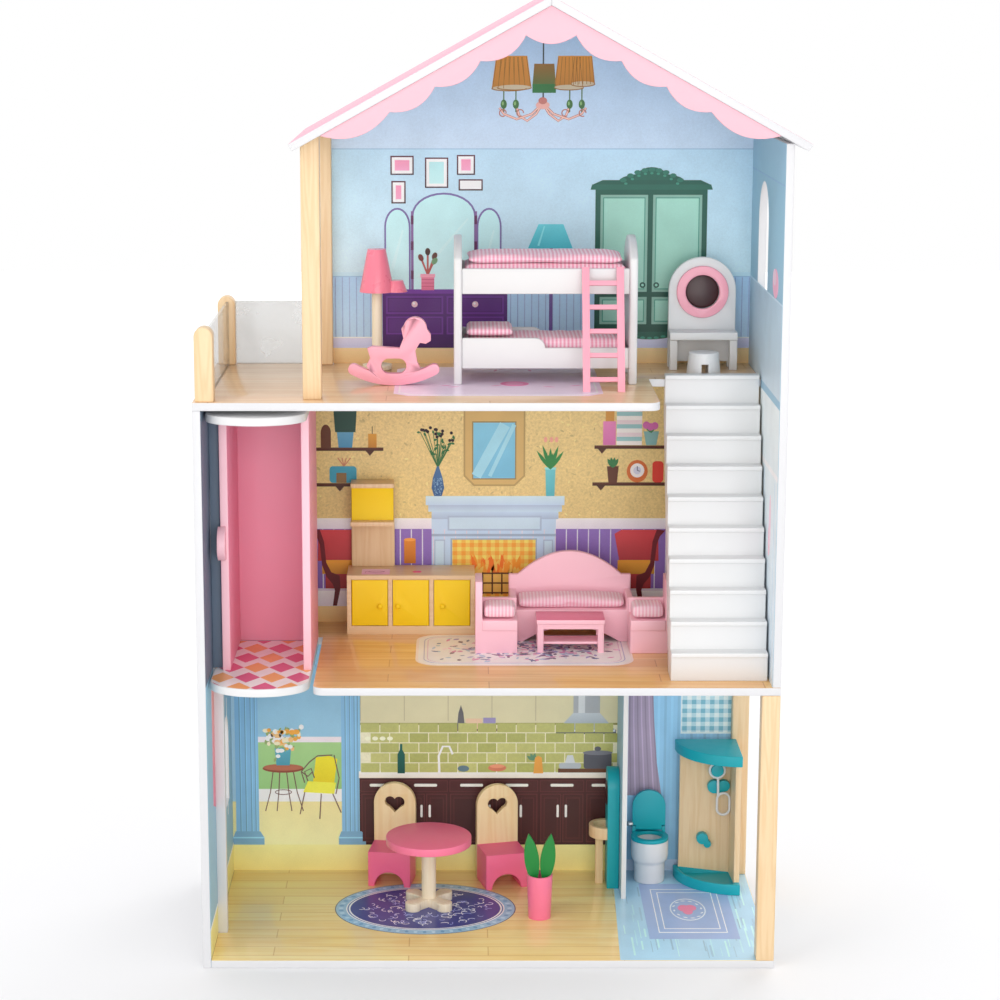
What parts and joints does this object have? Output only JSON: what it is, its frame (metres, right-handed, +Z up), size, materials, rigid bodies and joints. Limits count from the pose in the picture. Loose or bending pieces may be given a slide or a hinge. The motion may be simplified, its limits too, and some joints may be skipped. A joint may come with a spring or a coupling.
{
  "type": "wooden dollhouse",
  "caption": "Open-front wooden dollhouse on three storeys with a sliding lift, stairs, balcony, gabled roof and loose painted furniture.",
  "frame": {"origin": "centre of the footprint of the base on the ground, between the left wall and the right posts", "axes": "+Z up; -Y towards the open front; +X to the right seen from the front"},
  "size_m": [0.662, 0.308, 1.06],
  "materials": {
    "floor_board": "printed floorboards under satin lacquer",
    "printed_wall": "white foil with printed paper inside",
    "kitchen_print": "printed paper on fibreboard",
    "living_print": "printed paper on fibreboard",
    "attic_print": "printed paper on fibreboard",
    "roof_board": "white foil, pink upper face",
    "pale_pink": "satin paint",
    "pine": "clear satin lacquer",
    "clear_screen": "clear sheet",
    "white_board": "white foil over fibreboard",
    "zinc": "bright zinc",
    "lift_pink": "satin paint",
    "white_wood": "satin paint",
    "gingham": "woven pink stripe",
    "pink_wood": "satin paint",
    "pink_plastic": "gloss",
    "cream_wood": "satin paint",
    "yellow_wood": "satin paint",
    "rose_wood": "satin paint",
    "leaf_green": "satin paint",
    "turquoise": "satin paint",
    "white_plastic": "gloss"
  },
  "bodies": {
    "house": {"base_board": "floor_board", "left_wall": "printed_wall", "right_wall": "printed_wall", "middle_floor": "floor_board", "attic_floor": "floor_board", "kitchen_back_panel": "kitchen_print", "living_back_panel": "living_print", "attic_back_panel": "attic_print", "roof_left": "roof_board", "roof_right": "roof_board", "gable_valance": "pale_pink", "ground_posts": "pine", "attic_posts": "pine", "balcony_posts": "pine", "balcony_screens": "clear_screen", "bath_partition": "white_board", "stair_stringers": "white_board", "stair_steps": "white_board", "lift_rail": "white_board", "window_trims": "pale_pink", "frame_screws": "zinc"},
    "lift": {"lift_floor": "white_board", "lift_roof": "white_board", "lift_side_walls": "lift_pink", "lift_back_wall": "lift_pink", "lift_handle": "lift_pink"},
    "bunk_bed": {"bunk_ends": "white_wood", "bunk_boards": "white_wood", "bunk_mattress_upper": "gingham", "bunk_mattress_lower": "gingham"},
    "ladder": {"bunk_ladder": "pink_wood"},
    "floor_lamp": {"lamp_shade": "pink_plastic", "lamp_stand": "cream_wood"},
    "horse": {"rocking_horse": "pink_wood"},
    "vanity": {"vanity_table": "white_wood", "vanity_mirror_ring": "pink_wood"},
    "stool": {"vanity_stool": "white_wood"},
    "sideboard": {"sideboard_case": "pine", "hutch": "pine"},
    "door_left": {"sideboard_door_left": "yellow_wood"},
    "door_middle": {"sideboard_door_middle": "yellow_wood"},
    "door_right": {"sideboard_door_right": "yellow_wood"},
    "sofa": {"sofa_frame": "pink_wood", "sofa_pad": "gingham"},
    "armchair_left": {"armchair_left_frame": "pink_wood", "armchair_left_pad": "gingham"},
    "armchair_right": {"armchair_right_frame": "pink_wood", "armchair_right_pad": "gingham"},
    "coffee": {"coffee_table": "pink_wood"},
    "table": {"round_table": "rose_wood"},
    "dining_chair_left": {"chair_left": "pine"},
    "dining_chair_right": {"chair_right": "pine"},
    "pot_plant": {"plant": "leaf_green"},
    "washstand": {"wash_stand": "turquoise"},
    "toilet": {"toilet_bowl": "white_plastic", "toilet_seat": "turquoise"},
    "lid": {"toilet_lid": "turquoise"},
    "shower": {"shower_cubicle": "turquoise", "shower_fittings": "turquoise", "shower_hose": "white_plastic"}
  },
  "joints": [
    {"name": "lift_travel", "type": "slide", "parent": "house", "child": "lift", "axis": [0, 0, 1], "range_m": [-0.302, 0]},
    {"name": "bunk_bed_pull_out", "type": "slide", "parent": "house", "child": "bunk_bed", "axis": [0, -0.98, 0.199], "range_m": [0, 0.3]},
    {"name": "ladder_lift_off", "type": "slide", "parent": "bunk_bed", "child": "ladder", "axis": [0, -0.9397, 0.3419], "range_m": [0, 0.06]},
    {"name": "floor_lamp_lift", "type": "slide", "parent": "house", "child": "floor_lamp", "axis": [0, 0, 1], "range_m": [0, 0.09]},
    {"name": "horse_rock", "type": "hinge", "parent": "house", "child": "horse", "pos_m": [-0.105, -0.024, 0.7343], "axis": [0, 1, 0], "range_deg": [-12, 12]},
    {"name": "vanity_lift", "type": "slide", "parent": "house", "child": "vanity", "axis": [0, 0, 1], "range_m": [0, 0.09]},
    {"name": "stool_lift", "type": "slide", "parent": "house", "child": "stool", "axis": [0, 0, 1], "range_m": [0, 0.09]},
    {"name": "sideboard_pull_out", "type": "slide", "parent": "house", "child": "sideboard", "axis": [0, -0.98, 0.199], "range_m": [0, 0.32]},
    {"name": "door_left_hinge", "type": "hinge", "parent": "sideboard", "child": "door_left", "pos_m": [-0.1566, 0.0864, 0.3625], "axis": [0, 0, -1], "range_deg": [0, 95]},
    {"name": "door_middle_hinge", "type": "hinge", "parent": "sideboard", "child": "door_middle", "pos_m": [-0.06973, 0.0864, 0.3625], "axis": [0, 0, 1], "range_deg": [0, 95]},
    {"name": "door_right_hinge", "type": "hinge", "parent": "sideboard", "child": "door_right", "pos_m": [-0.0214, 0.0864, 0.3625], "axis": [0, 0, 1], "range_deg": [0, 95]},
    {"name": "sofa_lift", "type": "slide", "parent": "house", "child": "sofa", "axis": [0, 0, 1], "range_m": [0, 0.11]},
    {"name": "armchair_left_pull_out", "type": "slide", "parent": "house", "child": "armchair_left", "axis": [0, -0.98, 0.199], "range_m": [0, 0.22]},
    {"name": "armchair_right_lift", "type": "slide", "parent": "house", "child": "armchair_right", "axis": [0, 0, 1], "range_m": [0, 0.06]},
    {"name": "coffee_table_pull_out", "type": "slide", "parent": "house", "child": "coffee", "axis": [0, -0.98, 0.199], "range_m": [0, 0.22]},
    {"name": "round_table_pull_out", "type": "slide", "parent": "house", "child": "table", "axis": [0, -0.98, 0.199], "range_m": [0, 0.25]},
    {"name": "chair_left_lift", "type": "slide", "parent": "house", "child": "dining_chair_left", "axis": [0, 0, 1], "range_m": [0, 0.11]},
    {"name": "chair_right_lift", "type": "slide", "parent": "house", "child": "dining_chair_right", "axis": [0, 0, 1], "range_m": [0, 0.11]},
    {"name": "plant_pull_out", "type": "slide", "parent": "house", "child": "pot_plant", "axis": [0, -0.98, 0.199], "range_m": [0, 0.2]},
    {"name": "washstand_pull_out", "type": "slide", "parent": "house", "child": "washstand", "axis": [0, -0.98, 0.199], "range_m": [0, 0.3]},
    {"name": "toilet_pull_out", "type": "slide", "parent": "house", "child": "toilet", "axis": [0, -0.98, 0.199], "range_m": [0, 0.34]},
    {"name": "toilet_lid_hinge", "type": "hinge", "parent": "toilet", "child": "lid", "pos_m": [0.198, 0.1305, 0.0685], "axis": [1, 0, 0], "range_deg": [0, 90]},
    {"name": "shower_lift", "type": "slide", "parent": "house", "child": "shower", "axis": [0, 0, 1], "range_m": [0, 0.1]}
  ]
}
